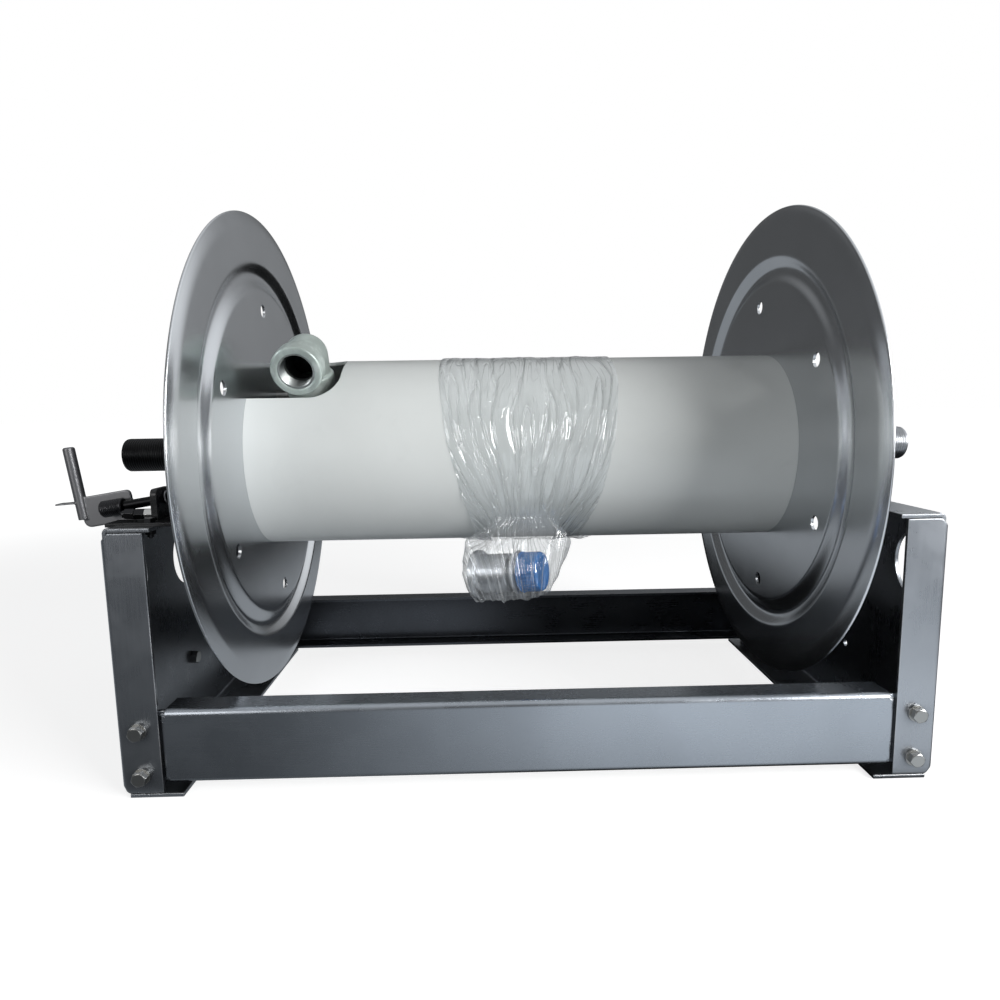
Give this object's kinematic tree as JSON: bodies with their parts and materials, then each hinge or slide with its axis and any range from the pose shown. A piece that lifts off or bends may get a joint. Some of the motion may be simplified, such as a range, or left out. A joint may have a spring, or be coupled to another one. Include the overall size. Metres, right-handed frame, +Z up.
{
  "type": "hose reel",
  "caption": "Manual hose reel: a drum with pressed discs turns in pillow blocks on a bolted sheet-metal frame, with a spring pin lock and a pipe outlet.",
  "frame": {"origin": "on the floor, midway between the side frames and midway between front and rear", "axes": "+X along the drum axis from the inlet end to the drive end, +Y to the rear, +Z up"},
  "size_m": [0.794, 0.457, 0.5007],
  "materials": {
    "frame_steel": "dull satin sheet steel with a soft grain",
    "cross_steel": "brushed sheet steel, grain along the member",
    "zinc": "dull zinc plate",
    "bright_zinc": "bright zinc plate",
    "cast_black": "black enamel over cast iron",
    "bearing_steel": "ground bearing steel",
    "seal_rubber": "matt black rubber",
    "nipple_brass": "machined",
    "disc_metal": "satin pressed sheet",
    "drum_paint": "smooth light grey paint",
    "hub_steel": "dark grey paint",
    "black_oxide": "black oxide",
    "pipe_dark": "dark oiled pipe",
    "pipe_grey": "plain machined steel",
    "galvanised": "galvanised, grey-green and slightly mottled",
    "lock_steel": "dark plain steel",
    "swivel_metal": "turned, satin",
    "cap_blue": "glossy moulded plastic",
    "clear_film": "thin clear crinkled film"
  },
  "bodies": {
    "frame": {"left_side_frame": "frame_steel", "right_side_frame": "frame_steel", "front_cross_member": "cross_steel", "rear_cross_member": "cross_steel", "frame_bolts": "zinc", "frame_washers": "zinc", "frame_nuts": "zinc", "web_bolt": "zinc", "web_nut": "zinc", "left_bearing_housing": "cast_black", "right_bearing_housing": "cast_black", "bearing_outer_rings": "bearing_steel", "bearing_balls": "bearing_steel", "bearing_seals": "seal_rubber", "grease_nipples": "nipple_brass", "bearing_bolts": "zinc", "bearing_washers": "zinc", "bearing_nuts": "zinc", "lock_bracket": "cast_black", "lock_bracket_screws": "black_oxide", "lock_bracket_nuts": "black_oxide", "lock_guide_stud": "black_oxide", "lock_guide_nut": "bright_zinc", "lock_jam_nuts": "black_oxide", "lock_spring": "zinc"},
    "drum": {"left_disc": "disc_metal", "right_disc": "disc_metal", "drum_tube": "drum_paint", "left_hub": "hub_steel", "right_hub": "hub_steel", "hub_set_screws": "black_oxide", "tie_rods": "zinc", "tie_rod_washers": "zinc", "tie_rod_nuts": "zinc", "inlet_pipe": "pipe_dark", "drive_shaft": "pipe_grey", "inner_elbow": "galvanised", "riser_pipe": "galvanised", "outlet_elbow": "galvanised", "bearing_inner_rings": "bearing_steel", "bearing_set_screws": "black_oxide", "swivel_body": "swivel_metal", "wrapping_film": "clear_film"},
    "pin_lock": {"lock_pin": "lock_steel", "lock_collar": "black_oxide", "lock_sleeve": "black_oxide", "lock_lever": "lock_steel"},
    "swivel_stem": {"swivel_stem": "swivel_metal", "thread_cap": "cap_blue"}
  },
  "joints": [
    {"name": "drum_spin", "type": "hinge", "parent": "frame", "child": "drum", "pos_m": [0, 0, 0.2722], "axis": [1, 0, 0], "continuous": true},
    {"name": "lock_pull", "type": "slide", "parent": "frame", "child": "pin_lock", "axis": [0.9877, 0, 0.1564], "range_m": [-0.01, 0], "stiffness_N_per_m": 900, "springref_m": 0.012, "deforming": ["lock_spring"]},
    {"name": "swivel_turn", "type": "hinge", "parent": "drum", "child": "swivel_stem", "pos_m": [-0.024, -0.064, 0.157], "axis": [0.8996, -0.4195, 0.1219], "continuous": true}
  ]
}
